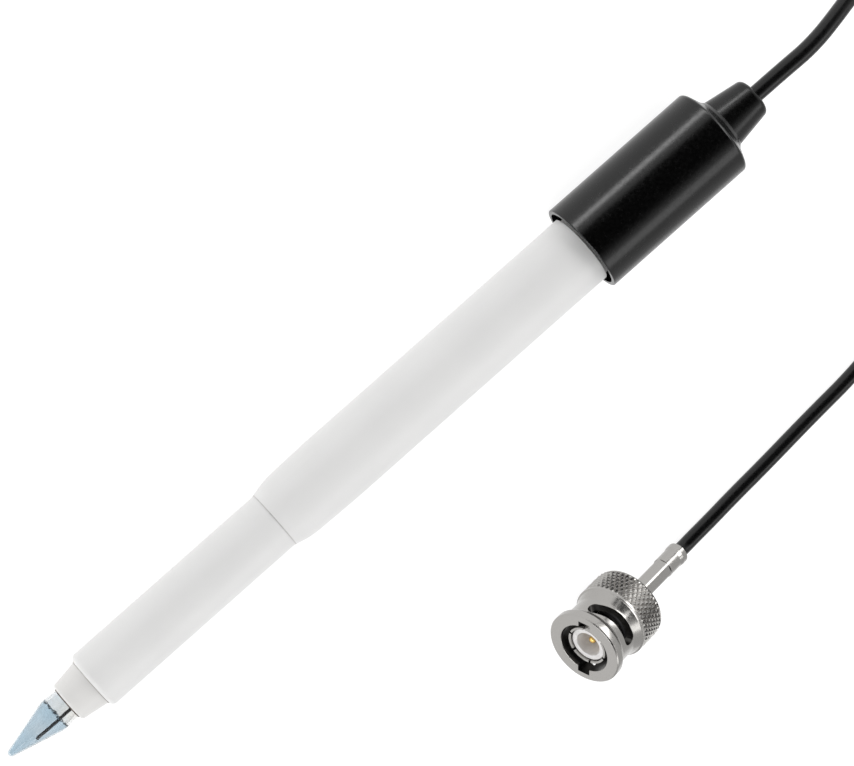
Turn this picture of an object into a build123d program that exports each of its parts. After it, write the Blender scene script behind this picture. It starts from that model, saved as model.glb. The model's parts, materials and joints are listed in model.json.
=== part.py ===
from build123d import *
import os
from math import asin, atan, atan2, cos, hypot, pi, radians, sin, sqrt, tan

# Combination pH electrode: a white plastic shaft with a conical glass tip, a black screw cap,
# a thin coaxial lead and a bayonet (BNC) plug.  Millimetres, +Z up.
# The electrode lies on the floor along +X, tip first, and rests on its cap and its stem.
# Turned sub-parts are drawn along their own axis: x is the distance from the front end, which
# for the electrode is the sharp point that its cone would have.

# ---- driving dimensions: electrode --------------------------------------------------------
TIP = 0.9                # the rounded end of the glass
INSERTION = 120.0        # to the front of the cap
OVERALL = 157.0          # to the end of the strain relief
BODY_R = 6.0             # 12 mm shaft
BODY_GRIP_END = 119.9    # the full 12 mm ends here, just before the cap
BODY_SEAT_R = 5.4        # the part inside the cap
BODY_BORE_R = 4.8
STEM_R = 5.0             # slimmer front half of the shaft
STEM_BORE_R = 4.0
STEM_FRONT = 17.7        # stem starts here
BODY_FRONT = 55.5        # body tube starts here
STEM_REAR = 66.0         # stem ends here, inside the body
BODY_REAR = 138.0        # body ends here, inside the cap
CAP_R = 7.8
CAP_REAR = 150.0
STEM_EDGE_ROUND = 0.9
CAP_EDGE_ROUND = 0.2

GLASS_END = 10.5         # blue membrane glass is fused to clear tube glass here
NOSE_FRONT = 12.9
TUBE_R = 2.6
TUBE_BORE_R = 2.1
TUBE_REAR = 112.0
SEAL_REAR = 116.0
POTTING_REAR = 133.0
WIRE_R = 0.22
WIRE_OFFSET = 0.95       # inner wire runs beside the axis
WIRE_SIDE = 127.0        # degrees about the axis, from +Y towards +Z
REF_WIRE_R = 0.25
REF_WIRE_OFFSET = 3.3

# ---- driving dimensions: lead and plug ----------------------------------------------------
LEAD_R = 1.4
BRAID_R = 1.0
DIELECTRIC_R = 0.75
CORE_R = 0.25
NUT_R = 7.25
NUT_LENGTH = 14.4
NUT_REAR_EDGE = 14.0     # last full radius of the knurled band
NUT_BORE_R = 4.9
NUT_CAVITY_R = 6.2
FERRULE_R = 2.1
FERRULE_END = 30.5
NUT_TURN = 26.5          # how the nut's slots are turned, degrees from +Y towards +Z
PLUG_FACE = (4.5, -82.5)  # where the plug's mating face lies on the floor plan
PLUG_HEADING = -26.7     # degrees, direction from the mating face to the lead

# ---- the lead's route on the floor --------------------------------------------------------
ROUTE_FROM_CAP = [
    (83.8, 0.0, 8.97),
    (90.6, 0.0, 9.35),
    (98.2, -0.1, 7.9),
    (107.4, -0.8, 5.2),
    (117.2, -3.2, 2.8),
    (126.4, -8.4, 1.5),
    (133.8, -16.0, 1.4),
    (138.4, -26.2, 1.4),
    (139.8, -38.0, 1.4),
]
COIL_CENTRE = (121.2, -50.0)
COIL_MID_R = 15.8
COIL_LAYERS = 3
COIL_DROP_POINT = (121.2, -68.6, 4.2)
ROUTE_TO_PLUG = [
    (111.7, -70.4, 2.9),
    (103.5, -76.0, 1.7),
    (96.2, -83.4, 1.4),
    (87.8, -90.0, 1.4),
    (77.7, -93.3, 1.4),
    (65.2, -93.9, 1.4),
    (53.2, -95.0, 1.4),
    (45.2, -95.4, 1.4),
    (39.2, -96.0, 1.4),
    (35.2, -96.2, 1.4),
    (32.22, -96.44, 1.41),
]


# ---- helpers ------------------------------------------------------------------------------
def turned(points, rounds=None):
    """Revolve an outline of (x, radius) points about X; rounds maps a point's index to a fillet."""
    rounds = rounds or {}
    radii = [rounds.get(i, 0) for i in range(len(points))]
    if any(radii):
        outline = FilletPolyline(*points, radius=radii, close=True)
    else:
        outline = Polyline(*points, close=True)
    return revolve(make_face(outline), Axis.X, 360)


def ring(x0, x1, inner, outer):
    """A plain ring or, with inner 0, a plain rod."""
    return turned([(x0, inner), (x0, outer), (x1, outer), (x1, inner)])


def rod_at(x0, x1, radius, offset, angle):
    """A rod parallel to X, offset from the axis at an angle from +Y towards +Z."""
    rod = ring(x0, x1, 0, radius)
    return Pos(0, offset * cos(radians(angle)), offset * sin(radians(angle))) * rod


def torus_ring(x, major, minor):
    return Pos(x, 0, 0) * Rot(0, 90, 0) * Torus(major, minor)


def spoke(x, radius, length, angle):
    """A radial pin of the given radius that starts on the axis."""
    pin = Pos(x, length / 2, 0) * Rot(90, 0, 0) * Cylinder(radius, length)
    return Rot(angle, 0, 0) * pin


def bar(x0, x1, inner, outer, width, angle):
    """A radial bar from the inner to the outer radius, as wide as width."""
    box = Box(x1 - x0, outer - inner, width)
    return Rot(angle, 0, 0) * Pos((x0 + x1) / 2, (inner + outer) / 2, 0) * box


def measuring_wire_path(x0, x1, radius=WIRE_R):
    return rod_at(x0, x1, radius, WIRE_OFFSET, WIRE_SIDE)


def reference_wire_path(x0, x1, radius=REF_WIRE_R):
    return rod_at(x0, x1, radius, REF_WIRE_OFFSET, 0)


# ---- glass electrode ----------------------------------------------------------------------
GLASS_WALL = 0.44
SEAM_R = 2.77
BUFFER_TIP = TIP + 1.1
CONE_OUTSIDE = [(TIP, 0), (TIP, 0.44), (9.9, 2.81), (GLASS_END, SEAM_R)]
CONE_INSIDE = [(GLASS_END, SEAM_R - GLASS_WALL), (BUFFER_TIP, 0.3), (BUFFER_TIP, 0)]


def sensing_cone():
    return turned(CONE_OUTSIDE + CONE_INSIDE, {1: 0.54, 2: 3.0})


def glass_stem_tube():
    return turned(
        [
            (GLASS_END, SEAM_R - GLASS_WALL),
            (GLASS_END, SEAM_R),
            (12.5, TUBE_R),
            (TUBE_REAR, TUBE_R),
            (TUBE_REAR, TUBE_BORE_R),
            (12.5, TUBE_BORE_R),
        ]
    )


def inner_buffer():
    wall = CONE_INSIDE[::-1] + [(12.5, TUBE_BORE_R), (45, TUBE_BORE_R)]
    fill = turned(wall + [(45, 0)])
    return fill - measuring_wire_path(5.9, 46)


def measuring_wire():
    return measuring_wire_path(5.9, 138)


def inner_tube_plug():
    return ring(108, TUBE_REAR, 0, TUBE_BORE_R) - measuring_wire_path(107, 113)


# ---- shaft --------------------------------------------------------------------------------
NOSE_LIP_R = 2.75


def nose_bush():
    outline = [
        (NOSE_FRONT, NOSE_LIP_R),
        (NOSE_FRONT, 3.42),
        (STEM_FRONT, 4.14),
        (STEM_FRONT, STEM_BORE_R),
        (24, STEM_BORE_R),
        (24, TUBE_R),
        (22, TUBE_R),
        (22, 3.0),
        (13.2, 3.0),
        (13.2, NOSE_LIP_R),
    ]
    groove = ring(19.8, 21.0, 2.9, 3.5)
    return turned(outline, {1: 0.55}) - groove


def junction_ring():
    return ring(13.2, 16.8, TUBE_R, 3.0)


def tip_o_ring():
    return torus_ring(20.4, 3.05, 0.44)


def stem_tube():
    outline = [
        (STEM_FRONT, STEM_BORE_R),
        (STEM_FRONT, STEM_R),
        (STEM_REAR, STEM_R),
        (STEM_REAR, STEM_BORE_R),
    ]
    return turned(outline, {1: STEM_EDGE_ROUND})


def body_tube():
    outline = [
        (BODY_FRONT, STEM_R),
        (BODY_FRONT, STEM_R + 0.07),
        (57.9, 5.76),
        (67.0, BODY_R),
        (BODY_GRIP_END, BODY_R),
        (BODY_GRIP_END, BODY_SEAT_R),
        (BODY_REAR, BODY_SEAT_R),
        (BODY_REAR, BODY_BORE_R),
        (STEM_REAR, BODY_BORE_R),
        (STEM_REAR, STEM_R),
    ]
    return turned(outline, {2: 14, 3: 95})


def centring_disc():
    disc = ring(89, 91.5, TUBE_R, BODY_BORE_R) - reference_wire_path(88, 93)
    for angle in (90, 210, 330):
        disc -= rod_at(88, 93, 1.0, BODY_BORE_R, angle)
    return disc


def reference_cartridge():
    return reference_wire_path(60, 74, 0.6) - reference_wire_path(59, 75)


def reference_wire():
    return reference_wire_path(60, 137.5)


def reference_gel():
    gel = turned(
        [
            (24, TUBE_R),
            (24, STEM_BORE_R),
            (STEM_REAR, STEM_BORE_R),
            (STEM_REAR, BODY_BORE_R),
            (TUBE_REAR, BODY_BORE_R),
            (TUBE_REAR, TUBE_R),
        ]
    )
    gel -= centring_disc()
    gel -= reference_wire_path(60, 74, 0.6)
    return gel - reference_wire_path(59.99, 113)


def top_seal():
    seal = ring(TUBE_REAR, SEAL_REAR, 0, BODY_BORE_R)
    return seal - measuring_wire_path(111, 117) - reference_wire_path(111, 117)


def potting():
    fill = ring(SEAL_REAR, POTTING_REAR, 0, BODY_BORE_R)
    return fill - measuring_wire_path(115, 134) - reference_wire_path(115, 134)


# ---- cap and what it holds ----------------------------------------------------------------
CAP_SOCKET_R = 5.43
CAP_CHAMBER_R = 5.2
BOOT_NECK_R = 2.55
BOOT_END_R = 3.3
BOOT_END_ROUND = 0.9


def cap_shell():
    outline = [
        (INSERTION, 7.05),
        (INSERTION, CAP_R),
        (148.1, CAP_R),
        (149.4, 5.1),
        (CAP_REAR, 4.5),
        (CAP_REAR, BOOT_NECK_R),
        (147.5, BOOT_NECK_R),
        (147.5, CAP_CHAMBER_R),
        (BODY_REAR, CAP_CHAMBER_R),
        (BODY_REAR, CAP_SOCKET_R),
        (123, CAP_SOCKET_R),
        (123, 7.05),
    ]
    seal_groove = ring(130.5, 131.7, 5.3, 6.0)
    return turned(outline, {1: CAP_EDGE_ROUND, 2: 0.6}) - seal_groove


def cap_o_ring():
    return torus_ring(131.1, 5.7, 0.29)


def cable_boot():
    outline = [
        (146.0, LEAD_R),
        (146.0, 4.4),
        (147.5, 4.4),
        (147.5, BOOT_NECK_R),
        (CAP_REAR, BOOT_NECK_R),
        (CAP_REAR, 4.4),
        (OVERALL, BOOT_END_R),
        (OVERALL, LEAD_R),
    ]
    return turned(outline, {6: BOOT_END_ROUND})


def lead_jacket_end():
    return ring(142.5, OVERALL, BRAID_R, LEAD_R)


def lead_braid_end():
    return ring(141.8, OVERALL, DIELECTRIC_R, BRAID_R)


def lead_dielectric_end():
    return ring(140.5, OVERALL, CORE_R, DIELECTRIC_R)


def lead_core_end():
    return ring(137.2, OVERALL, 0, CORE_R)


def braid_pigtail():
    tail = reference_wire_path(137.6, 143.0, 0.35)
    foot = bar(142.0, 142.45, BRAID_R, REF_WIRE_OFFSET, 0.6, 0)
    return tail + foot


def jacket_crimp_ring():
    return ring(143.6, 145.4, LEAD_R, 1.9)


def core_splice():
    sleeve = rod_at(135.2, 140.2, 1.4, WIRE_OFFSET / 2, WIRE_SIDE)
    return sleeve - measuring_wire_path(135, 138) - ring(137.2, 141, 0, CORE_R)


def braid_splice():
    sleeve = reference_wire_path(135.2, 140.2, 0.75)
    sleeve -= reference_wire_path(135, 137.6)
    sleeve -= reference_wire_path(138, 141, 0.35)
    sleeve -= reference_wire_path(137.6, 138, 0.35)
    return sleeve


# ---- plug ---------------------------------------------------------------------------------
FLANGE = (8.1, 9.3)
BODY_STEM_R = 4.35
WASHER_FRONT = 10.95
SNAP_GROOVE = (11.5, 12.4)
INSULATOR_R = 3.35


def ramp(angle):
    """Distance from the nut's face to the middle of a bayonet slot, at an angle in the nut."""
    climb = min(1.0, max(0.0, (angle + 34) / 48))
    return 3.95 + 1.2 * sin(climb * pi / 2)


def coupling_nut():
    outline = [
        (0, NUT_BORE_R),
        (0, 7.0),
        (0.25, NUT_R),
        (1.5, NUT_R),
        (2.7, 6.4),
        (6.4, 6.35),
        (8.2, 7.0),
        (8.4, NUT_R),
        (NUT_REAR_EDGE, NUT_R),
        (NUT_LENGTH, 6.85),
        (NUT_LENGTH, NUT_CAVITY_R),
        (SNAP_GROOVE[1], NUT_CAVITY_R),
        (SNAP_GROOVE[1], 6.75),
        (SNAP_GROOVE[0], 6.75),
        (SNAP_GROOVE[0], NUT_CAVITY_R),
        (8.0, NUT_CAVITY_R),
        (8.0, NUT_BORE_R),
    ]
    nut = turned(outline, {4: 0.8, 5: 2.0})
    for side in (0, 180):
        for step in range(14):
            angle = -34 + 6 * step
            nut -= spoke(ramp(angle), 1.25, 8, NUT_TURN + side + angle)
        nut -= bar(-0.1, 4.3, 3.0, 5.95, 2.4, NUT_TURN + side - 30)
    return nut


def plug_body():
    outline = [
        (7.2, 4.05),
        (7.2, 4.85),
        (FLANGE[0], 4.85),
        (FLANGE[0], 6.12),
        (FLANGE[1], 6.12),
        (FLANGE[1], BODY_STEM_R),
        (12.6, BODY_STEM_R),
        (12.6, 5.5),
        (14.2, 5.5),
        (15.2, 4.2),
        (15.6, 2.6),
        (15.6, 1.15),
        (24.0, 1.15),
        (24.0, DIELECTRIC_R),
        (13.5, DIELECTRIC_R),
        (13.5, 3.0),
        (11.0, 3.0),
        (11.0, INSULATOR_R),
        (9.0, INSULATOR_R),
        (9.0, 4.05),
    ]
    return turned(outline)


def outer_contact():
    inner = INSULATOR_R + 0.1
    sleeve = turned(
        [(0.9, inner), (0.9, 3.85), (1.15, 4.05), (9.0, 4.05), (9.0, INSULATOR_R), (8.2, inner)]
    )
    for i in range(6):
        sleeve -= bar(0.5, 6.2, 3.0, 5.0, 0.45, NUT_TURN + 20 + 60 * i)
    return sleeve


def insulator():
    outline = [
        (1.3, 2.4),
        (1.3, INSULATOR_R),
        (11.0, INSULATOR_R),
        (11.0, 0.67),
        (6.2, 0.67),
        (6.2, 1.7),
    ]
    return turned(outline, {0: 0.15, 1: 0.15})


def centre_pin():
    outline = [(2.3, 0), (2.3, 0.67), (11.0, 0.67), (11.0, 0.9), (13.5, 0.9), (13.5, 0)]
    return turned(outline, {1: 0.5})


def rear_bush():
    return ring(11.0, 13.5, 0.9, 3.0)


def gasket():
    return turned([(6.35, 4.06), (6.35, 4.8), (7.18, 4.8), (7.18, 4.06)], {0: 0.2, 1: 0.3})


def spring_washer():
    """Dished spring washer between the body's flange and the nut's thrust washer."""
    return turned([(9.32, 4.6), (9.62, 4.6), (10.93, 5.9), (10.63, 5.95)])


def thrust_washer():
    return ring(WASHER_FRONT, 11.47, BODY_STEM_R + 0.05, NUT_CAVITY_R - 0.08)


def snap_ring():
    circlip = ring(11.52, 12.3, 5.6, 6.7)
    return circlip - bar(11.4, 12.5, 5.0, 7.2, 2.2, NUT_TURN + 90)


def crimp_ferrule():
    outline = [
        (15.65, 1.45),
        (15.65, 1.8),
        (16.2, 1.95),
        (28.6, 1.95),
        (29.4, FERRULE_R),
        (FERRULE_END, FERRULE_R),
        (FERRULE_END, LEAD_R),
        (24.5, LEAD_R),
        (24.5, 1.45),
    ]
    sleeve = turned(outline)
    for i in range(6):
        sleeve -= bar(18.0, 25.5, 1.78, 2.6, 4.0, 60 * i)
    return sleeve


def plug_braid():
    return ring(16.2, 24.5, 1.15, 1.45)


def plug_dielectric():
    return ring(13.5, FERRULE_END, CORE_R, DIELECTRIC_R)


def plug_core():
    return ring(13.5, FERRULE_END, 0, CORE_R)


def plug_jacket_end():
    return ring(24.5, FERRULE_END, DIELECTRIC_R, LEAD_R)


# ---- lead ---------------------------------------------------------------------------------
def corner_radii(points):
    """One arc per corner, as large as the two runs beside it allow."""
    radii = []
    for before, corner, after in zip(points, points[1:], points[2:]):
        run_in = Vector(corner) - Vector(before)
        run_out = Vector(after) - Vector(corner)
        half_turn = radians(run_in.get_angle(run_out)) / 2
        radii.append(0.45 * min(run_in.length, run_out.length) / tan(half_turn))
    return radii


def lead_tube(name, points):
    radii = corner_radii(points)
    path = FilletPolyline(*points, radius=radii)
    section = Plane(origin=points[0], z_dir=Vector(points[1]) - Vector(points[0])) * Circle(LEAD_R)
    tube = sweep(section, path=path)
    print(name, "bend radii mm:", " ".join(f"{r:.0f}" for r in radii))
    print(name, f"length {path.length:.1f} mm, volume / (section x length) "
          f"{tube.volume / (pi * LEAD_R**2 * path.length):.4f}")
    return tube, path.length


def lead_coil():
    """Outer shape of the wound and tied part of the lead."""
    half = COIL_LAYERS * LEAD_R
    section = Rectangle(2 * half, 2 * half)
    section = fillet(section.vertices(), 1.2)
    profile = Plane.XZ * Pos(COIL_MID_R, half) * section
    return Pos(COIL_CENTRE[0], COIL_CENTRE[1], 0) * revolve(profile, Axis.Z, 360)


TIE_ANGLE = 150.0
TIE_WIDTH = 5.0
TIE_WALL = 0.7


def coil_tie():
    """Flat band round the bundle of turns."""
    bundle = 2 * COIL_LAYERS * LEAD_R
    outside = Box(bundle + 2 * TIE_WALL, TIE_WIDTH, bundle + 2 * TIE_WALL)
    outside = fillet(outside.edges().filter_by(Axis.Y), 1.6)
    inside = Box(bundle, TIE_WIDTH + 1, bundle)
    inside = fillet(inside.edges().filter_by(Axis.Y), 1.0)
    band = Pos(COIL_MID_R, 0, bundle / 2 + TIE_WALL) * (outside - inside)
    return Pos(COIL_CENTRE[0], COIL_CENTRE[1], 0) * Rot(0, 0, TIE_ANGLE) * band


def coil_length():
    """Eight turns that fill the coil's section, and a last quarter turn on the outside."""
    pitch = 2 * LEAD_R
    inner, middle, outer = COIL_MID_R - pitch, COIL_MID_R, COIL_MID_R + pitch
    turns = [outer, middle, inner, inner, inner, middle, middle, outer]
    return 2 * pi * (sum(turns) + outer / 4)


# ---- placing ------------------------------------------------------------------------------
def electrode_placing():
    """Lay the electrode on its cap's front rim and its stem's front edge, centred on the origin."""
    cap_x, cap_r = INSERTION + CAP_EDGE_ROUND, CAP_R - CAP_EDGE_ROUND
    stem_x, stem_r = STEM_FRONT + STEM_EDGE_ROUND, STEM_R - STEM_EDGE_ROUND
    run, drop = cap_x - stem_x, cap_r - stem_r
    tilt = asin((CAP_EDGE_ROUND - STEM_EDGE_ROUND) / hypot(run, drop)) + atan2(drop, run)
    tip_height = STEM_EDGE_ROUND + stem_r * cos(tilt) - stem_x * sin(tilt)
    boot_edge_r = BOOT_END_R - BOOT_END_ROUND
    middle = ((TIP + OVERALL) * cos(tilt) + boot_edge_r * sin(tilt)) / 2
    return Pos(-middle, 0, tip_height) * Rot(0, -tilt * 180 / pi, 0), tilt, middle, tip_height


def plug_placing():
    """Rest the plug on the nut's rear edge and the end of its ferrule, mating face raised."""
    tilt = atan((NUT_R - FERRULE_R) / (FERRULE_END - NUT_REAR_EDGE))
    height = NUT_R * cos(tilt) + NUT_REAR_EDGE * sin(tilt)
    place = Pos(*PLUG_FACE, height) * Rot(0, 0, PLUG_HEADING) * Rot(0, tilt * 180 / pi, 0)
    return place, tilt


def point_on(place, x):
    """World point at distance x along a placed sub-part's axis."""
    position = (place * Pos(x, 0, 0)).position
    return (position.X, position.Y, position.Z)


ELECTRODE_NODES = [
    sensing_cone, glass_stem_tube, inner_buffer, measuring_wire, inner_tube_plug, nose_bush,
    junction_ring, tip_o_ring, stem_tube, body_tube, centring_disc, reference_cartridge,
    reference_wire, reference_gel, top_seal, potting, cap_shell, cap_o_ring, cable_boot,
    lead_jacket_end, lead_braid_end, lead_dielectric_end, lead_core_end, braid_pigtail,
    jacket_crimp_ring, core_splice, braid_splice,
]
PLUG_NODES = [
    coupling_nut, plug_body, outer_contact, insulator, centre_pin, rear_bush, gasket,
    spring_washer, thrust_washer, snap_ring, crimp_ferrule, plug_braid, plug_dielectric,
    plug_core, plug_jacket_end,
]


def write(name, shape):
    export_step(shape, f"parts/{name}.step")


def main():
    os.makedirs("parts", exist_ok=True)
    electrode, tilt, middle, tip_height = electrode_placing()
    plug, plug_tilt = plug_placing()
    for make in ELECTRODE_NODES:
        write(make.__name__, electrode * make())
    for make in PLUG_NODES:
        write(make.__name__, plug * make())
    coil_start = (COIL_CENTRE[0] + COIL_MID_R + 2 * LEAD_R, COIL_CENTRE[1], LEAD_R)
    from_cap = [point_on(electrode, OVERALL)] + ROUTE_FROM_CAP + [coil_start]
    to_plug = [COIL_DROP_POINT] + ROUTE_TO_PLUG + [point_on(plug, FERRULE_END)]
    tube_a, length_a = lead_tube("lead_to_coil", from_cap)
    tube_b, length_b = lead_tube("lead_to_plug", to_plug)
    write("lead_to_coil", tube_a)
    write("lead_to_plug", tube_b)
    write("lead_coil", lead_coil())
    write("coil_tie", coil_tie())
    print(f"whole lead {length_a + length_b + coil_length():.0f} mm")
    print(f"electrode tilt {tilt * 180 / pi:.3f} deg, tip height {tip_height:.4f}, middle {middle:.4f}")
    print(f"plug tilt {plug_tilt * 180 / pi:.3f} deg, face {point_on(plug, 0)}")
    print("ferrule end", point_on(plug, FERRULE_END), "boot end", point_on(electrode, OVERALL))


main()
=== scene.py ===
"""Looks for a combination pH electrode: white shaft, conical glass tip, black cap, thin lead, BNC plug.

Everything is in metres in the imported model's frame; MM turns millimetres into metres.
"""
import json
from math import ceil, cos, exp, floor, pi, radians, sin

import bmesh
import bpy
from mathutils import Matrix, Vector, noise


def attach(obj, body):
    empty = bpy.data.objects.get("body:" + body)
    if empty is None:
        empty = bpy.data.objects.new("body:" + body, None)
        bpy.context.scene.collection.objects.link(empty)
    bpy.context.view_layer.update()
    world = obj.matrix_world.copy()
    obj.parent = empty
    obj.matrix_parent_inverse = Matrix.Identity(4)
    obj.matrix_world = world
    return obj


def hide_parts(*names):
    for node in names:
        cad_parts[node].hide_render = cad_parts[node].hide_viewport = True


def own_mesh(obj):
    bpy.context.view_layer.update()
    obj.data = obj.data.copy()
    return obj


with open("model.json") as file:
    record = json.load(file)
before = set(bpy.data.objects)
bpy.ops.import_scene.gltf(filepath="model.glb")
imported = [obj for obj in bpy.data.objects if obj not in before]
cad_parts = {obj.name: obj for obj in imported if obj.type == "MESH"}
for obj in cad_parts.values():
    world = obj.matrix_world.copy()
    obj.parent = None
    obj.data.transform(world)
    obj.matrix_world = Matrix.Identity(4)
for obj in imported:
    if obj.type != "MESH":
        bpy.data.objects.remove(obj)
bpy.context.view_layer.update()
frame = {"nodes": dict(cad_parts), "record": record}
nodes = frame["nodes"]
mounts = {m["name"]: m for m in frame["record"]["mounts"]}
MM = 0.001

bpy.context.scene.view_settings.view_transform = "Standard"


# ---- frames of the two turned assemblies ---------------------------------------------------
def axis_frame(origin, x_axis):
    """Matrix whose X runs along a turned assembly's axis, with Y level."""
    x = Vector(x_axis).normalized()
    y = Vector((0, 0, 1)).cross(x).normalized()
    z = x.cross(y)
    turn = Matrix((x, y, z)).transposed().to_4x4()
    return Matrix.Translation(origin) @ turn


GRIP_FROM_TIP = 94.07 * MM
grip = mounts["shaft_grip"]
to_tip = Vector(grip["axis"])
ELECTRODE = axis_frame(Vector(grip["pos_m"]) + GRIP_FROM_TIP * to_tip, -to_tip)
face = mounts["plug_mating_face"]
PLUG = axis_frame(Vector(face["pos_m"]), -Vector(face["axis"]))


# ---- camera --------------------------------------------------------------------------------
def make_camera():
    data = bpy.data.cameras.new("camera")
    data.lens = 135.216
    data.sensor_width = 36.0
    data.clip_start = 0.02
    data.clip_end = 30.0
    camera = bpy.data.objects.new("camera", data)
    bpy.context.scene.collection.objects.link(camera)
    place = Vector((-0.05063, 0.39932, 0.30629))
    aim = Vector((0.00829, 0.00187, 0.008))
    roll = radians(132.18)
    forward = (aim - place).normalized()
    level_right = forward.cross(Vector((0, 0, 1))).normalized()
    level_up = level_right.cross(forward)
    right = cos(roll) * level_right + sin(roll) * level_up
    up = right.cross(-forward) * -1
    turn = Matrix((right, up, -forward)).transposed().to_4x4()
    camera.matrix_world = Matrix.Translation(place) @ turn
    bpy.context.scene.camera = camera


# ---- the lead ------------------------------------------------------------------------------
LEAD_D = 2.8 * MM
ROUTE_FROM_CAP = [
    (83.8, 0.0, 8.97),
    (90.6, 0.0, 9.35),
    (98.2, -0.1, 7.9),
    (107.4, -0.8, 5.2),
    (117.2, -3.2, 2.8),
    (126.4, -8.4, 1.5),
    (133.8, -16.0, 1.4),
    (138.4, -26.2, 1.4),
    (139.8, -38.0, 1.4),
]
COIL_CENTRE = (121.2, -50.0)
COIL_MID_R = 15.8
COIL_DROP_POINT = (121.2, -68.6, 4.2)
ROUTE_TO_PLUG = [
    (111.7, -70.4, 2.9),
    (103.5, -76.0, 1.7),
    (96.2, -83.4, 1.4),
    (87.8, -90.0, 1.4),
    (77.7, -93.3, 1.4),
    (65.2, -93.9, 1.4),
    (53.2, -95.0, 1.4),
    (45.2, -95.4, 1.4),
    (39.2, -96.0, 1.4),
    (35.2, -96.2, 1.4),
    (32.22, -96.44, 1.41),
]
BOOT_END = 157.0 * MM
FERRULE_END = 30.5 * MM
TIE_ANGLE = 150.0
TIE_WALL = 0.7


def coil_points():
    """Eight turns and a quarter, wound clockwise, that fill a bundle three by three leads thick."""
    pitch = 2.8
    inner, middle, outer = COIL_MID_R - pitch, COIL_MID_R, COIL_MID_R + pitch
    low, half, high = 0.5 * pitch, 1.5 * pitch, 2.5 * pitch
    turns = [
        (outer, low), (middle, low), (inner, low), (inner, half),
        (inner, high), (middle, high), (middle, half), (outer, half),
    ]
    per_turn = 16
    cut_inside = 0.986
    points = []
    for i in range(len(turns) * per_turn + per_turn // 4):
        turn, step = divmod(i, per_turn)
        this = turns[min(turn, len(turns) - 1)]
        before = turns[max(turn - 1, 0)]
        change = min(1.0, step / 4.0) if turn < len(turns) else 1.0
        change = change * change * (3 - 2 * change)
        radius = (before[0] + (this[0] - before[0]) * change) / cut_inside
        height = before[1] + (this[1] - before[1]) * change
        angle = -360.0 * i / per_turn
        off_tie = (angle - TIE_ANGLE + 180) % 360 - 180
        height += TIE_WALL * exp(-((off_tie / 26.0) ** 2))
        x = COIL_CENTRE[0] + radius * cos(radians(angle))
        y = COIL_CENTRE[1] + radius * sin(radians(angle))
        points.append((x, y, height))
    return points


def make_lead():
    start = ELECTRODE @ Vector((BOOT_END, 0, 0))
    end = PLUG @ Vector((FERRULE_END, 0, 0))
    route = ROUTE_FROM_CAP + coil_points() + [COIL_DROP_POINT] + ROUTE_TO_PLUG
    points = [start] + [Vector(p) * MM for p in route] + [end]
    curve = bpy.data.curves.new("lead", "CURVE")
    curve.dimensions = "3D"
    curve.bevel_depth = LEAD_D / 2
    curve.bevel_resolution = 5
    curve.use_fill_caps = True
    curve.resolution_u = 10
    spline = curve.splines.new("NURBS")
    spline.points.add(len(points) - 1)
    for target, point in zip(spline.points, points):
        target.co = (*point, 1.0)
    spline.order_u = 3
    spline.use_endpoint_u = True
    lead = bpy.data.objects.new("lead", curve)
    bpy.context.scene.collection.objects.link(lead)
    return lead, start


# ---- stage and lights ----------------------------------------------------------------------
FLOOR_GLOW = 0.93


def make_floor():
    """A pale floor that curves up far outside the view."""
    mesh = bpy.data.meshes.new("floor")
    bm = bmesh.new()
    rings = [(0.4, 0), (1.2, 0), (1.5, 0.02), (1.8, 0.08), (2.1, 0.18), (2.4, 0.36)]
    sides = 96
    loops = []
    for radius, height in rings:
        loop = [
            bm.verts.new((radius * cos(2 * pi * i / sides), radius * sin(2 * pi * i / sides), height))
            for i in range(sides)
        ]
        loops.append(loop)
    bm.faces.new(loops[0])
    for a, b in zip(loops, loops[1:]):
        for i in range(sides):
            j = (i + 1) % sides
            bm.faces.new((a[i], b[i], b[j], a[j]))
    bmesh.ops.recalc_face_normals(bm, faces=bm.faces)
    bm.to_mesh(mesh)
    bm.free()
    mesh.shade_smooth()
    ground = bpy.data.objects.new("floor", mesh)
    bpy.context.scene.collection.objects.link(ground)
    material = bpy.data.materials.new("floor_white")
    material.use_nodes = True
    shader = material.node_tree.nodes["Principled BSDF"]
    shader.inputs["Base Color"].default_value = (0.2, 0.2, 0.2, 1)
    shader.inputs["Roughness"].default_value = 0.9
    shader.inputs["Specular IOR Level"].default_value = 0.0
    shader.inputs["Emission Color"].default_value = (1, 1, 1, 1)
    shader.inputs["Emission Strength"].default_value = FLOOR_GLOW
    mesh.materials.append(material)


WORLD_LEVEL = 0.7
CAMERA_SIDE = Vector((-0.1178, 0.7942, 0.5961))


def make_world():
    """Even studio walls with a dark opening on the camera's side."""
    world = bpy.data.worlds.new("studio")
    bpy.context.scene.world = world
    world.use_nodes = True
    tree = world.node_tree
    background = tree.nodes["Background"]
    background.inputs["Color"].default_value = (1, 1, 1, 1)
    direction = tree.nodes.new("ShaderNodeTexCoord")
    dot = tree.nodes.new("ShaderNodeVectorMath")
    dot.operation = "DOT_PRODUCT"
    dot.inputs[1].default_value = CAMERA_SIDE
    ramp = tree.nodes.new("ShaderNodeMapRange")
    ramp.interpolation_type = "SMOOTHSTEP"
    ramp.inputs["From Min"].default_value = 0.45
    ramp.inputs["From Max"].default_value = 0.78
    ramp.inputs["To Min"].default_value = WORLD_LEVEL
    ramp.inputs["To Max"].default_value = 0.0
    tree.links.new(direction.outputs["Generated"], dot.inputs[0])
    tree.links.new(dot.outputs["Value"], ramp.inputs["Value"])
    tree.links.new(ramp.outputs["Result"], background.inputs["Strength"])


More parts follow.
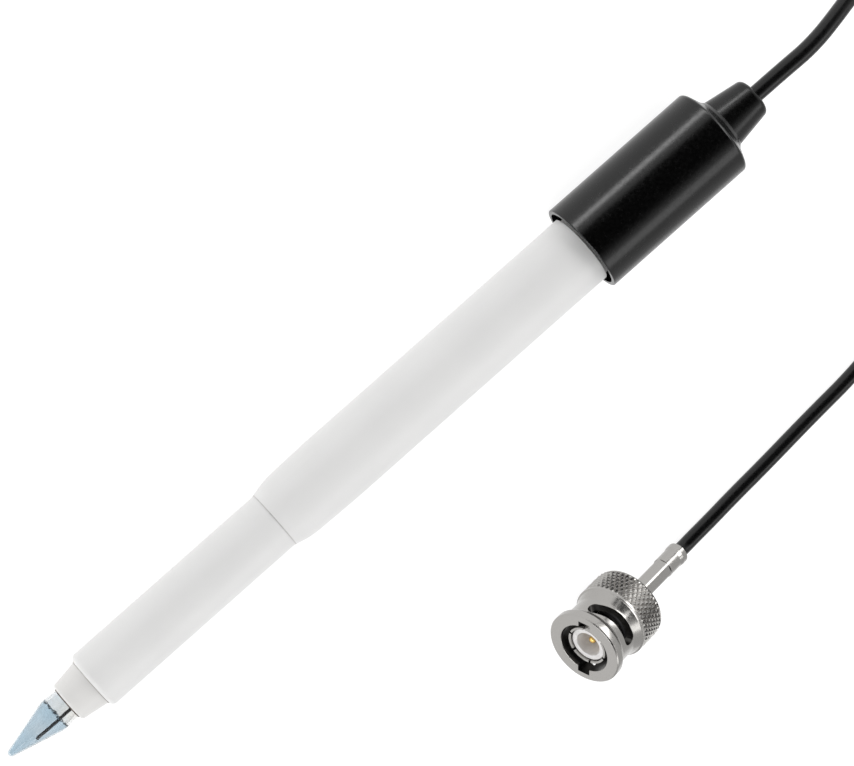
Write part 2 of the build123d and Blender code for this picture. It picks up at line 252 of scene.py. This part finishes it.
def area_light(name, place, aim, size, radiance):
    """A rectangular softbox of the given radiance, hidden from the camera."""
    data = bpy.data.lights.new(name, "AREA")
    data.shape = "RECTANGLE"
    data.size, data.size_y = size
    data.energy = radiance * pi * size[0] * size[1]
    light = bpy.data.objects.new(name, data)
    bpy.context.scene.collection.objects.link(light)
    light.location = place
    light.rotation_euler = (Vector(aim) - Vector(place)).to_track_quat("-Z", "Y").to_euler()
    light.visible_camera = False
    return light


SIDE_LEVEL = 3.9
PLUG_NODES = [
    "plug_body", "outer_contact", "insulator", "centre_pin", "gasket", "crimp_ferrule",
    "snap_ring", "thrust_washer",
]


def make_lights():
    """Softboxes for everything, a strip for the cap and a fill for the plug.

    The right softbox leaves out the boot, and the pieces that are made after this.
    """
    area_light("top_softbox", (0.1, -0.36, 0.95), (0.03, 0, 0), (1.6, 0.34), 1.6)
    area_light("left_softbox", (-0.85, 0.30, 0.45), (0, 0, 0), (0.5, 0.7), SIDE_LEVEL)
    right = area_light("right_softbox", (0.85, 0.30, 0.45), (0, 0, 0), (0.5, 0.7), SIDE_LEVEL)
    light_only(right, [ob for ob in bpy.data.objects if ob.type == "MESH" and ob.name != "cable_boot"])
    strip = area_light("cap_strip", (0.066, 0.030, 0.0036), (0.066, 0, 0.0105), (0.075, 0.0052), 6.0)
    light_only(strip, [nodes["cap_shell"], nodes["cable_boot"]])
    fill = area_light("plug_fill", (0.0, 0.45, 0.36), (0.01, -0.08, 0.01), (0.5, 0.5), 0.65)
    light_only(fill, [nut] + [nodes[n] for n in PLUG_NODES])


def light_only(light, lit):
    """The light falls on these objects alone, as if flagged off from the rest."""
    receivers = bpy.data.collections.new(light.name + "_receivers")
    for piece in lit:
        receivers.objects.link(piece)
    light.light_linking.receiver_collection = receivers


# ---- material helpers ----------------------------------------------------------------------
class Finish:
    """A Principled material with helpers for procedural detail in a chosen frame."""

    def __init__(self, name, colour, roughness, **sockets):
        self.material = bpy.data.materials.new(name)
        self.material.use_nodes = True
        self.tree = self.material.node_tree
        self.shader = self.tree.nodes["Principled BSDF"]
        self.shader.inputs["Base Color"].default_value = (*colour, 1)
        self.shader.inputs["Roughness"].default_value = roughness
        for key, value in sockets.items():
            self.shader.inputs[key.replace("_", " ")].default_value = value
        self.normal = None

    def node(self, kind, **inputs):
        made = self.tree.nodes.new("ShaderNode" + kind)
        for key, value in inputs.items():
            made.inputs[key.replace("_", " ")].default_value = value
        return made

    def link(self, a, b):
        self.tree.links.new(a, b)

    def place(self, local=None, stretch=(1, 1, 1)):
        """Texture coordinates in a local frame, stretched per axis."""
        coordinates = self.node("TexCoord")
        out = coordinates.outputs["Object"]
        if local is not None:
            turn = self.node("Mapping")
            turn.vector_type = "TEXTURE"
            turn.inputs["Location"].default_value = local.to_translation()
            turn.inputs["Rotation"].default_value = local.to_euler()
            self.link(out, turn.inputs["Vector"])
            out = turn.outputs["Vector"]
        if tuple(stretch) != (1, 1, 1):
            scale = self.node("Mapping", Scale=stretch)
            self.link(out, scale.inputs["Vector"])
            out = scale.outputs["Vector"]
        return out

    def grain(self, size, detail=2.0, local=None, stretch=(1, 1, 1)):
        """Noise whose features are about this size, in metres."""
        made = self.node("TexNoise", Scale=1.0 / size, Detail=detail)
        self.link(self.place(local, stretch), made.inputs["Vector"])
        return made.outputs["Fac"]

    def ranged(self, value, low, high, start=0.3, stop=0.7):
        made = self.node("MapRange")
        made.inputs["From Min"].default_value = start
        made.inputs["From Max"].default_value = stop
        made.inputs["To Min"].default_value = low
        made.inputs["To Max"].default_value = high
        self.link(value, made.inputs["Value"])
        return made.outputs["Result"]

    def vary_roughness(self, value, low, high):
        self.link(self.ranged(value, low, high), self.shader.inputs["Roughness"])

    def vary_colour(self, value, first, second, start=0.3, stop=0.7):
        mix = self.node("MixRGB")
        mix.inputs["Color1"].default_value = (*first, 1)
        mix.inputs["Color2"].default_value = (*second, 1)
        self.link(self.ranged(value, 0, 1, start, stop), mix.inputs["Fac"])
        self.link(mix.outputs["Color"], self.shader.inputs["Base Color"])

    def bump(self, value, depth, strength=1.0):
        made = self.node("Bump", Strength=strength, Distance=depth)
        self.link(value, made.inputs["Height"])
        if self.normal is not None:
            self.link(self.normal, made.inputs["Normal"])
        self.normal = made.outputs["Normal"]
        self.link(self.normal, self.shader.inputs["Normal"])


# ---- materials -----------------------------------------------------------------------------
def white_plastic(name, colour, darker):
    made = Finish(name, colour, 0.42)
    made.vary_colour(made.grain(9 * MM, 1.0), colour, darker)
    made.vary_roughness(made.grain(1.2 * MM), 0.36, 0.5)
    made.bump(made.grain(0.35 * MM), 0.02 * MM, 0.25)
    return made.material


def black_plastic(name, colour, low, high, depth=0.03, specular=0.5):
    made = Finish(name, colour, 0.3, Specular_IOR_Level=specular)
    made.vary_roughness(made.grain(0.5 * MM, 3.0), low, high)
    made.bump(made.grain(0.22 * MM, 2.0), depth * MM, 0.15)
    return made.material


def membrane_glass():
    made = Finish("blue_glass", (0.67, 0.765, 0.82), 0.04, Transmission_Weight=0.96, IOR=1.3)
    blotch = made.grain(5 * MM, 1.0, ELECTRODE)
    made.vary_colour(blotch, (0.63, 0.735, 0.80), (0.73, 0.785, 0.825))
    made.bump(made.grain(1.6 * MM, 1.0), 0.05 * MM, 0.2)
    return made.material


def tube_glass():
    made = Finish("clear_glass", (0.84, 0.86, 0.87), 0.04, Transmission_Weight=0.97, IOR=1.35)
    made.vary_colour(made.grain(4 * MM, 1.0), (0.78, 0.83, 0.87), (0.89, 0.87, 0.84))
    made.bump(made.grain(2.0 * MM, 1.0), 0.03 * MM, 0.15)
    return made.material


def buffer_gel():
    made = Finish("buffer_gel", (0.80, 0.88, 0.94), 0.06, Transmission_Weight=1.0, IOR=1.06)
    made.vary_colour(made.grain(3 * MM, 1.0), (0.90, 0.94, 0.96), (0.95, 0.96, 0.96))
    return made.material


def plated(name, colour, low, high, local, lines=0.10):
    """Plated metal with fine turning marks round the part's own axis."""
    made = Finish(name, colour, 0.3, Metallic=1.0)
    soft = made.grain(0.5 * MM, 2.0, local)
    made.vary_roughness(soft, low, high)
    made.bump(made.grain(0.12 * MM, 1.0, local, (1.0, 0.05, 0.05)), 0.012 * MM, lines)
    return made.material


def rubber(name, colour):
    made = Finish(name, colour, 0.55)
    made.vary_roughness(made.grain(0.8 * MM), 0.45, 0.65)
    made.bump(made.grain(0.2 * MM, 3.0), 0.03 * MM, 0.4)
    return made.material


def plain_solid(name, colour, roughness, size=0.6):
    """Mottled colour and a fine grain."""
    made = Finish(name, colour, roughness)
    darker = tuple(0.82 * c for c in colour)
    made.vary_colour(made.grain(2.5 * size * MM), colour, darker)
    made.vary_roughness(made.grain(size * MM), 0.8 * roughness, 1.15 * roughness)
    made.bump(made.grain(0.5 * size * MM), 0.03 * MM, 0.3)
    return made.material


def braid():
    """Fine crossing strands round the lead's core."""
    made = Finish("tinned_braid", (0.72, 0.52, 0.40), 0.35, Metallic=1.0)
    wave = made.node("TexWave", Scale=900.0, Distortion=0.0)
    made.link(made.place(None, (1.0, 0.6, 0.6)), wave.inputs["Vector"])
    made.vary_colour(wave.outputs["Fac"], (0.72, 0.52, 0.40), (0.45, 0.30, 0.22), 0.2, 0.8)
    made.bump(wave.outputs["Fac"], 0.05 * MM, 0.5)
    return made.material


def woven_band():
    """Black hook-and-loop webbing with a fine rib."""
    made = Finish("woven_band", (0.02, 0.02, 0.022), 0.85, Sheen_Weight=0.3)
    ribs = made.node("TexWave", Scale=420.0, Distortion=0.6)
    ribs.bands_direction = "Z"
    made.link(made.place(), ribs.inputs["Vector"])
    fuzz = made.grain(0.25 * MM, 4.0)
    made.vary_colour(fuzz, (0.012, 0.012, 0.014), (0.05, 0.05, 0.055))
    made.bump(ribs.outputs["Fac"], 0.12 * MM, 0.6)
    made.bump(fuzz, 0.1 * MM, 0.5)
    return made.material


MATERIALS = {
    "membrane_glass": membrane_glass(),
    "tube_glass": tube_glass(),
    "buffer_gel": buffer_gel(),
    "shaft_plastic": white_plastic("white_plastic", (0.815, 0.812, 0.806), (0.795, 0.792, 0.787)),
    "nose_plastic": white_plastic("nose_white", (0.805, 0.795, 0.78), (0.785, 0.775, 0.76)),
    "junction_ceramic": plain_solid("porous_ceramic", (0.82, 0.80, 0.75), 0.9, 0.3),
    "seal_rubber": rubber("seal_rubber", (0.02, 0.02, 0.022)),
    "wire_silver": black_plastic("chlorided_silver", (0.003, 0.003, 0.003), 0.5, 0.7, 0.02, 0.1),
    "electrolyte_gel": plain_solid("electrolyte_gel", (0.78, 0.82, 0.84), 0.3),
    "epoxy": plain_solid("cast_epoxy", (0.03, 0.03, 0.035), 0.35),
    "cap_plastic": black_plastic("cap_black", (0.0008, 0.0008, 0.0008), 0.18, 0.28, 0.02, 0.4),
    "boot_rubber": black_plastic("boot_black", (0.001, 0.001, 0.001), 0.2, 0.3, 0.03, 0.35),
    "lead_jacket": black_plastic("jacket_black", (0.004, 0.004, 0.0042), 0.24, 0.36, 0.03, 0.4),
    "braid_copper": braid(),
    "dielectric": plain_solid("cable_dielectric", (0.80, 0.80, 0.77), 0.5),
    "nickel": plated("satin_nickel", (0.38, 0.37, 0.355), 0.17, 0.25, PLUG, 0.04),
    "ptfe": plain_solid("white_ptfe", (0.80, 0.785, 0.775), 0.5, 0.5),
    "gold_pin": plated("gold_plate", (0.83, 0.55, 0.18), 0.18, 0.28, PLUG),
    "spring_steel": plated("spring_steel", (0.58, 0.57, 0.56), 0.22, 0.34, PLUG),
    "tie_band": woven_band(),
}


def paint_frame():
    """Give every CAD node the material of its slot."""
    for part in frame["record"]["subparts"]:
        mesh = nodes[part["node"]].data
        mesh.materials.clear()
        mesh.materials.append(MATERIALS[part["material_slot"]])


def finish_piece(piece, slot):
    piece.data.materials.append(MATERIALS[slot])
    return piece


# ---- mesh helpers --------------------------------------------------------------------------
def rounded(points, radii, step=radians(15)):
    """A closed outline of (x, radius) points with some corners replaced by arcs."""
    outline = []
    count = len(points)
    for i, corner in enumerate(points):
        corner = Vector(corner)
        radius = radii.get(i, 0)
        if not radius:
            outline.append(corner)
            continue
        to_before = (Vector(points[i - 1]) - corner).normalized()
        to_after = (Vector(points[(i + 1) % count]) - corner).normalized()
        half = to_before.angle(to_after) / 2
        centre = corner + (to_before + to_after).normalized() * radius / sin(half)
        reach = radius * cos(half) / sin(half)
        first = corner + to_before * reach - centre
        last = corner + to_after * reach - centre
        turn = first.angle_signed(last)
        pieces = max(2, ceil(abs(turn) / step))
        for k in range(pieces + 1):
            angle = -turn * k / pieces
            outline.append(centre + Matrix.Rotation(angle, 2) @ first)
    return outline


def mesh_object(name, vertices, faces, local, sharp_from=radians(35)):
    """A mesh object from points in a local frame, in millimetres, with its vertices in place."""
    mesh = bpy.data.meshes.new(name)
    placed = [local @ (Vector(v) * MM) for v in vertices]
    mesh.from_pydata(placed, [], faces)
    bm = bmesh.new()
    bm.from_mesh(mesh)
    bmesh.ops.recalc_face_normals(bm, faces=bm.faces)
    bm.to_mesh(mesh)
    bm.free()
    mesh.shade_smooth()
    mesh.set_sharp_from_angle(angle=sharp_from)
    piece = bpy.data.objects.new(name, mesh)
    bpy.context.scene.collection.objects.link(piece)
    return piece


def polar(x, radius, angle):
    return (x, radius * cos(angle), radius * sin(angle))


def band(rings, around, closed):
    """Faces between neighbouring rings of vertices, each ring with this many around."""
    faces = []
    for i in range(rings if closed else rings - 1):
        a, b = i * around, (i + 1) % rings * around
        for k in range(around):
            m = (k + 1) % around
            faces.append((a + k, b + k, b + m, a + m))
    return faces


def turned(name, outline, local, sides=96, closed=True):
    """Revolve an outline about X; an open outline starts and ends on the axis."""
    vertices, faces, loops = [], [], []
    for x, radius in outline:
        if radius < 1e-6:
            loops.append([len(vertices)] * sides)
            vertices.append((x, 0, 0))
            continue
        loops.append(list(range(len(vertices), len(vertices) + sides)))
        vertices += [polar(x, radius, 2 * pi * i / sides) for i in range(sides)]
    pairs = list(zip(loops, loops[1:]))
    if closed:
        pairs.append((loops[-1], loops[0]))
    for a, b in pairs:
        for i in range(sides):
            j = (i + 1) % sides
            corner = list(dict.fromkeys((a[i], b[i], b[j], a[j])))
            if len(corner) > 2:
                faces.append(corner)
    return mesh_object(name, vertices, faces, local)


# ---- knurled coupling nut ------------------------------------------------------------------
NUT_R = 7.25
NUT_BORE_R = 4.9
NUT_CAVITY_R = 6.2
NUT_TURN = 26.5
KNURL_COUNT = 44
KNURL_PITCH = 1.61
KNURL_STEPS = 8
KNURL_DEPTH = 0.42
KNURL_FRONT = 8.9
KNURL_ROWS = 26


def triangle_wave(x):
    """0 at whole numbers, 1 half way between."""
    return 1 - abs(2 * (x - floor(x)) - 1)


def knurl_height(x, y):
    """Diamond pyramids with narrow flat grooves and slightly blunt tops."""
    height = min(triangle_wave(x + y), triangle_wave(x - y))
    return min(1.0, max(0.0, (height - 0.10) / 0.78))


def knurl_radius(row, height):
    """Radius of a knurl vertex; the pattern is lower in the first and last two rows."""
    fade = min(1.0, (row + 1) / 3, (KNURL_ROWS + 1 - row) / 3)
    return NUT_R - KNURL_DEPTH * (1 - height * fade)


def nut_outline():
    """Outer half of the outline, front to knurl, then the rear and the inside."""
    front = [(8.0, NUT_BORE_R), (0, NUT_BORE_R), (0, 7.05), (0.2, NUT_R), (1.5, NUT_R)]
    waist = [(2.7, 6.4), (6.4, 6.35), (8.15, 6.95), (8.3, 7.2), (KNURL_FRONT - 0.15, 7.2)]
    rounds = {1: 0.12, 2: 0.1, 3: 0.1, 4: 0.1, 5: 0.8, 6: 2.0, 8: 0.08}
    ahead = rounded(front + waist, rounds)
    rear_x = KNURL_FRONT + KNURL_ROWS * KNURL_PITCH / KNURL_STEPS
    rear = [
        (rear_x + 0.12, 6.98), (14.4, 6.8), (14.4, NUT_CAVITY_R), (12.4, NUT_CAVITY_R),
        (12.4, 6.75), (11.5, 6.75), (11.5, NUT_CAVITY_R), (8.0, NUT_CAVITY_R),
    ]
    return ahead, rear


def nut_blank():
    """The nut without its slots."""
    sides = KNURL_COUNT * KNURL_STEPS
    ahead, rear = nut_outline()
    knurl_x = [KNURL_FRONT + row * KNURL_PITCH / KNURL_STEPS for row in range(KNURL_ROWS + 1)]
    xs = [(p[0], p[1], None) for p in ahead]
    xs += [(x, NUT_R, row) for row, x in enumerate(knurl_x)]
    xs += [(x, r, None) for x, r in rear]
    vertices, heights = [], []
    for x, radius, row in xs:
        for i in range(sides):
            height, radius_here = 0.0, radius
            if row is not None:
                height = knurl_height(i / KNURL_STEPS, row / KNURL_STEPS)
                radius_here = knurl_radius(row, height)
            heights.append(height)
            vertices.append(polar(x, radius_here, 2 * pi * i / sides))
    faces = []
    rows = len(xs)
    for k in range(rows):
        after = (k + 1) % rows
        row, row_after = xs[k][2], xs[after][2]
        for i in range(sides):
            j = (i + 1) % sides
            a, b = k * sides + i, after * sides + i
            c, d = after * sides + j, k * sides + j
            if row is None or row_after is None:
                faces.append((a, b, c, d))
                continue
            # Each quad is split along the diagonal that comes closest to the pattern in its middle.
            middle = knurl_height((i + 0.5) / KNURL_STEPS, (row + 0.5) / KNURL_STEPS)
            along_ac = abs((heights[a] + heights[c]) / 2 - middle)
            along_bd = abs((heights[b] + heights[d]) / 2 - middle)
            if along_ac < along_bd:
                faces += [(a, b, c), (a, c, d)]
            else:
                faces += [(a, b, d), (b, c, d)]
    return mesh_object("knurled_nut", vertices, faces, PLUG, radians(28))


def slot_middle(angle):
    """Distance from the nut's face to the middle of a bayonet slot, at an angle in the nut."""
    climb = min(1.0, max(0.0, (angle + 34) / 48))
    return 3.95 + 1.2 * sin(climb * pi / 2)


def radial_prism(name, outline, inner, outer):
    """A cutter: an outline of (angle in degrees, x) points between two radii."""
    count = len(outline)
    vertices = [polar(x, inner, radians(angle)) for angle, x in outline]
    vertices += [polar(x, outer, radians(angle)) for angle, x in outline]
    faces = [tuple(range(count)), tuple(range(2 * count - 1, count - 1, -1))]
    for i in range(count):
        j = (i + 1) % count
        faces.append((i, j, count + j, count + i))
    return mesh_object(name, vertices, faces, PLUG)


def slot_cutter(side):
    """A bayonet slot: its ramp and two round ends."""
    half, start, stop, radius = 1.25, -34, 44, 6.4
    degrees_per_mm = 180 / (pi * radius)
    outline = []
    for k in range(19):
        angle = start + (stop - start) * k / 18
        outline.append((angle, slot_middle(angle) - half))
    for k in range(1, 8):
        turn = -pi / 2 + pi * k / 8
        outline.append((stop + half * cos(turn) * degrees_per_mm, slot_middle(stop) + half * sin(turn)))
    for k in range(19):
        angle = stop - (stop - start) * k / 18
        outline.append((angle, slot_middle(angle) + half))
    for k in range(1, 8):
        turn = pi / 2 + pi * k / 8
        outline.append((start + half * cos(turn) * degrees_per_mm, slot_middle(start) + half * sin(turn)))
    outline = [(angle + NUT_TURN + side, x) for angle, x in outline]
    return radial_prism("slot_cutter", outline, 3.0, 8.5)


def groove_cutter(side):
    """The straight entrance of a slot, cut into the bore from the nut's face."""
    middle = radians(NUT_TURN + side - 30)
    across = Matrix.Rotation(middle, 4, "X")
    corners = [
        across @ Vector((x, y, z)) for x in (-0.3, 4.3) for y in (3.0, 5.95) for z in (-1.2, 1.2)
    ]
    faces = [(0, 1, 3, 2), (4, 6, 7, 5), (0, 4, 5, 1), (2, 3, 7, 6), (0, 2, 6, 4), (1, 5, 7, 3)]
    return mesh_object("groove_cutter", corners, faces, PLUG)


def cut(piece, cutter):
    """Take the cutter out of the piece for good."""
    change = piece.modifiers.new("cut", "BOOLEAN")
    change.operation = "DIFFERENCE"
    change.solver = "EXACT"
    change.object = cutter
    depsgraph = bpy.context.evaluated_depsgraph_get()
    result = bpy.data.meshes.new_from_object(piece.evaluated_get(depsgraph))
    piece.modifiers.clear()
    old = piece.data
    piece.data = result
    bpy.data.meshes.remove(old)
    bpy.data.objects.remove(cutter)


def shade_inside(nut):
    """Painted shade: a dull, dark copy of the nickel in the nut's bore and on the walls of its slots."""
    # painted shade: dark nickel stands in for the shade deep inside the nut
    nut.data.materials.append(plated("nickel_painted_shade", (0.09, 0.088, 0.084), 0.28, 0.42, PLUG, 0.04))
    to_plug = PLUG.inverted()
    for face in nut.data.polygons:
        middle = to_plug @ face.center
        radius = Vector((middle.y, middle.z)).length
        # faces inside the bore, slot walls included, get the painted shade
        if radius < 6.25 * MM and 0.5 * MM < middle.x < 14.3 * MM:
            face.material_index = 1


def make_nut():
    nut = nut_blank()
    for side in (0, 180):
        cut(nut, slot_cutter(side))
        cut(nut, groove_cutter(side))
    nut.data.set_sharp_from_angle(angle=radians(28))
    nut.data.name = "knurled_nut"
    finish_piece(nut, "nickel")
    shade_inside(nut)
    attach(nut, "coupling_nut")
    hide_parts("coupling_nut")
    return nut


def make_spring():
    """The dished spring washer."""
    front, rear = 9.32, 10.93
    outline = [(front, 4.6), (9.62, 4.6), (rear, 5.9), (10.63, 5.95)]
    spring = turned("dished_spring", outline, PLUG)
    finish_piece(spring, "spring_steel")
    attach(spring, "root")
    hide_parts("spring_washer")
    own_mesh(spring)
    return spring


# ---- glass tip -----------------------------------------------------------------------------
GLASS_TIP = 0.9
GLASS_END = 10.5
MEMBRANE_WALL = 0.15
TUBE_BORE_R = 2.1
WIRE_OFFSET = 0.95
WIRE_SIDE = radians(127)


def make_cone():
    """The blown glass cone, with a thinner wall than in the CAD model."""
    outline = [
        (GLASS_TIP, 0), (GLASS_TIP, 0.44), (9.9, 2.81), (GLASS_END, 2.77),
        (GLASS_END, 2.77 - MEMBRANE_WALL), (9.9, 2.81 - MEMBRANE_WALL), (1.25, 0.3), (1.25, 0),
    ]
    cone = turned("blown_cone", rounded(outline, {1: 0.54, 2: 3.0, 5: 2.85}), ELECTRODE, closed=False)
    finish_piece(cone, "membrane_glass")
    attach(cone, "root")
    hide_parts("sensing_cone")


def make_buffer():
    """The gelled buffer, a hair smaller than the glass it fills."""
    gap, rear = 0.04, 45
    outline = [
        (1.25 + gap, 0), (1.25 + gap, 0.27), (9.9, 2.61), (GLASS_END - gap, 2.58),
        (GLASS_END, 2.29), (12.5, TUBE_BORE_R - gap), (rear, TUBE_BORE_R - gap), (rear, 0),
    ]
    fill = turned("buffer_fill", outline, ELECTRODE, closed=False)
    finish_piece(fill, "buffer_gel")
    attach(fill, "root")
    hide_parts("inner_buffer")


def make_seam():
    """The uneven dark line where the blue glass is fused to the clear tube."""
    sides, around = 180, 8
    vertices = []
    for i in range(sides):
        angle = 2 * pi * i / sides
        ring_point = Vector((cos(angle), sin(angle), 0))
        wobble = noise.noise(4 * ring_point) + 0.6 * noise.noise(13 * ring_point)
        beads = noise.noise(19 * ring_point + Vector((0, 0, 5.1)))
        x = GLASS_END - 0.05 + 0.3 * wobble
        thick = 0.05 + 0.3 * max(0.0, beads + 0.05)
        for k in range(around):
            turn = 2 * pi * k / around
            vertices.append(polar(x + thick * cos(turn), 2.52 + 0.8 * thick * sin(turn), angle))
    seam = mesh_object("fused_seam", vertices, band(sides, around, closed=True), ELECTRODE)
    made = Finish("seam_glass", (0.10, 0.15, 0.20), 0.3)
    made.vary_colour(made.grain(0.5 * MM), (0.02, 0.04, 0.06), (0.25, 0.34, 0.40))
    made.bump(made.grain(0.2 * MM), 0.03 * MM, 0.4)
    seam.data.materials.append(made.material)
    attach(seam, "root")


def make_coated_wire():
    """The dark coating on the wire's end, uneven and slightly bent."""
    start, end, steps, around = 5.7, 13.8, 54, 12
    vertices = []
    for i in range(steps + 1):
        x = start + (end - start) * i / steps
        sway = 0.16 * noise.noise(Vector((1.3 * x, 2.4, 0)))
        centre = Vector(polar(x, WIRE_OFFSET + sway, WIRE_SIDE)) + Vector((0, sway, 0))
        thick = 0.25 + 0.04 * noise.noise(Vector((2.6 * x, 0, 7.7)))
        if i == 0:
            thick *= 0.7
        vertices += [centre + Vector(polar(0, thick, 2 * pi * k / around)) for k in range(around)]
    first_end = tuple(range(around))
    last_end = tuple(range(steps * around + around - 1, steps * around - 1, -1))
    faces = band(steps + 1, around, closed=False) + [first_end, last_end]
    coated = mesh_object("coated_wire", vertices, faces, ELECTRODE)
    finish_piece(coated, "wire_silver")
    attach(coated, "root")


def make_joint_line(name, x, radius, size, slot, colour, lighter):
    """A thin line round the shaft at a joint; dark for sealant, grey for painted shade in a seam."""
    turns = [k * pi / 4 for k in range(8)]
    bead = turned(name, [(x + size * cos(a), radius + size * sin(a)) for a in turns], ELECTRODE)
    made = Finish(name + "_shade", colour, 0.6)
    made.vary_colour(made.grain(0.8 * MM), colour, lighter)
    made.bump(made.grain(0.2 * MM), 0.02 * MM, 0.4)
    bead.data.materials.append(made.material)
    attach(bead, "root")


def make_joint_lines():
    """Sealant at the nose, and painted shade lines where the nose and the body tube meet the stem."""
    sealant = (0.05, 0.035, 0.03), (0.16, 0.12, 0.09)
    # grey painted shade in the seams where the nose and the body tube meet the stem
    nose_shade = (0.44, 0.43, 0.42), (0.62, 0.61, 0.58)
    body_shade = (0.48, 0.47, 0.46), (0.64, 0.63, 0.62)
    make_joint_line("nose_sealant", 12.84, 2.73, 0.12, "seal_rubber", *sealant)
    make_joint_line("nose_joint", 17.64, 4.20, 0.07, "nose_plastic", *nose_shade)
    make_joint_line("body_joint", 55.45, 5.03, 0.06, "shaft_plastic", *body_shade)


# ---- coil strap ----------------------------------------------------------------------------
def make_strap():
    """A hook-and-loop strap round the bundle, with an overlapping tail."""
    half, corner, wall, width = 4.2, 1.3, TIE_WALL * 0.9, 5.0
    lift = TIE_WALL + 0.02
    place = Matrix.Translation(Vector((*COIL_CENTRE, 0)) * MM) @ Matrix.Rotation(radians(TIE_ANGLE), 4, "Z")
    loop = rounded(
        [(-half, -half), (half, -half), (half, half), (-half, half)],
        {i: corner for i in range(4)},
        radians(12),
    )
    start = loop.index(min(loop, key=lambda p: (abs(p[0] - half), abs(p[1] + 1.5))))
    path = [Vector(p) for p in loop[start:] + loop[:start]]
    overlap = path[: len(path) // 4]
    line, offsets = [], []
    for i, point in enumerate(path + overlap):
        line.append(point)
        over = max(0, i - len(path) + 3)
        offsets.append(wall * min(1.0, over / 4.0) * 1.04)
    inner, outer = [], []
    for i, point in enumerate(line):
        before, after = line[max(i - 1, 0)], line[min(i + 1, len(line) - 1)]
        along = (after - before).normalized()
        out = Vector((along[1], -along[0]))
        inner.append(point + out * (offsets[i] + 0.01))
        outer.append(point + out * (offsets[i] + wall))
    vertices, faces = [], []
    for a, b in zip(inner, outer):
        for point in (a, b):
            for side in (-width / 2, width / 2):
                vertices.append((COIL_MID_R + point[0], side, half + lift + point[1]))
    for i in range(len(line) - 1):
        p, q = 4 * i, 4 * (i + 1)
        faces += [
            (p, q, q + 1, p + 1), (p + 2, p + 3, q + 3, q + 2),
            (p, p + 2, q + 2, q), (p + 1, q + 1, q + 3, p + 3),
        ]
    end = 4 * (len(line) - 1)
    faces += [(0, 1, 3, 2), (end, end + 2, end + 3, end + 1)]
    strap = mesh_object("coil_strap", vertices, faces, place)
    soften = strap.modifiers.new("soft_edges", "BEVEL")
    soften.width = 0.12 * MM
    soften.segments = 2
    finish_piece(strap, "tie_band")
    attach(strap, "root")
    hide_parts("coil_tie")
    return strap


# ---- put together --------------------------------------------------------------------------
make_camera()
make_floor()
make_world()
paint_frame()
nut = make_nut()
make_lights()
make_cone()
make_buffer()
make_seam()
make_coated_wire()
make_joint_lines()
strap = make_strap()
spring = make_spring()
lead, lead_start = make_lead()
finish_piece(lead, "lead_jacket")
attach(lead, "root")
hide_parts("lead_to_coil", "lead_coil", "lead_to_plug")
